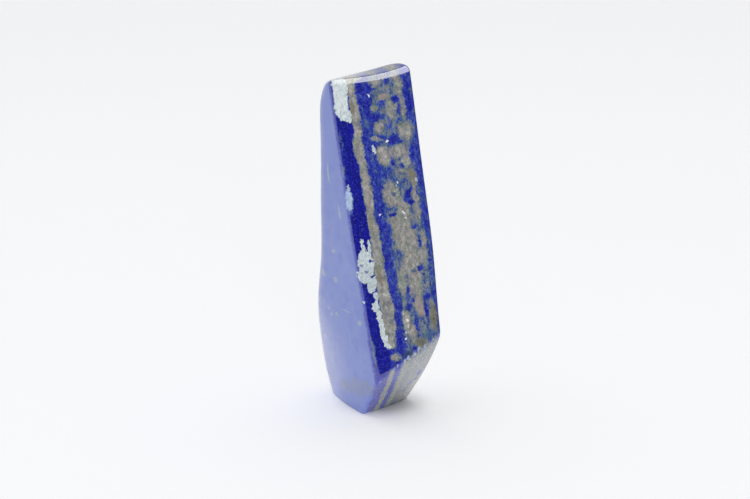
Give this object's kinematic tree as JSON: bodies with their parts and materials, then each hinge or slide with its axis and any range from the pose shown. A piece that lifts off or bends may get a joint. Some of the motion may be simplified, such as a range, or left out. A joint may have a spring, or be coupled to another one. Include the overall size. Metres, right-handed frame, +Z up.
{
  "type": "polished lapis lazuli freeform",
  "caption": "Hand-ground, polished lapis lazuli: a tall wedge of deep blue rock, banded with tan and white across its narrow face, that stands upright on a small flat foot.",
  "frame": {"origin": "middle of the stone's bounding box, at the level of its flat foot", "axes": "+Z up the standing stone; its narrow banded face looks to -Y, turned 23 degrees towards +X, and its broad blue face to -X"},
  "size_m": [0.0392, 0.0412, 0.1105],
  "materials": {
    "polished_lapis": "polished"
  },
  "bodies": {
    "root": {"lapis_stone": "polished_lapis"}
  },
  "joints": []
}
